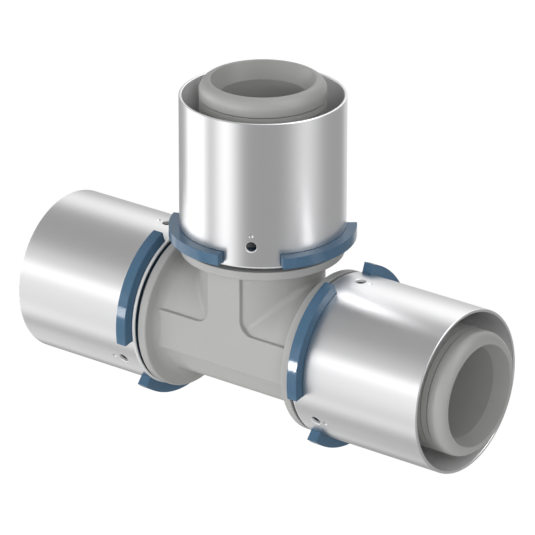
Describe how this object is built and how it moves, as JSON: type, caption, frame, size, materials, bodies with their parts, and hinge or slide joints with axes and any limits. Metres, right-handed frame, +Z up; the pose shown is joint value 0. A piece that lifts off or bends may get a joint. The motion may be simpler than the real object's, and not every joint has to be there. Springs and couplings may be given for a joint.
{
  "type": "press tee",
  "caption": "Equal press tee for composite pipe: moulded grey body with ribbed spigots inside thin steel press sleeves, held by blue stop rings whose lugs guide the press jaws.",
  "frame": {"origin": "where the axes of the run and the branch cross", "axes": "+X along the run towards the right-hand end, +Z up the branch, -Y towards the front pad"},
  "size_m": [0.1704, 0.0598, 0.1151],
  "materials": {
    "body": "satin moulded plastic",
    "sleeve": "satin stainless steel tube",
    "stop_ring": "smooth moulded plastic",
    "seal": "smooth moulded rubber"
  },
  "bodies": {
    "root": {"tee_body": "body", "sleeve_left": "sleeve", "sleeve_right": "sleeve", "sleeve_branch": "sleeve", "stop_ring_left": "stop_ring", "stop_ring_right": "stop_ring", "stop_ring_branch": "stop_ring", "seal_left_outer": "seal", "seal_left_inner": "seal", "seal_right_outer": "seal", "seal_right_inner": "seal", "seal_branch_outer": "seal", "seal_branch_inner": "seal"}
  },
  "joints": []
}
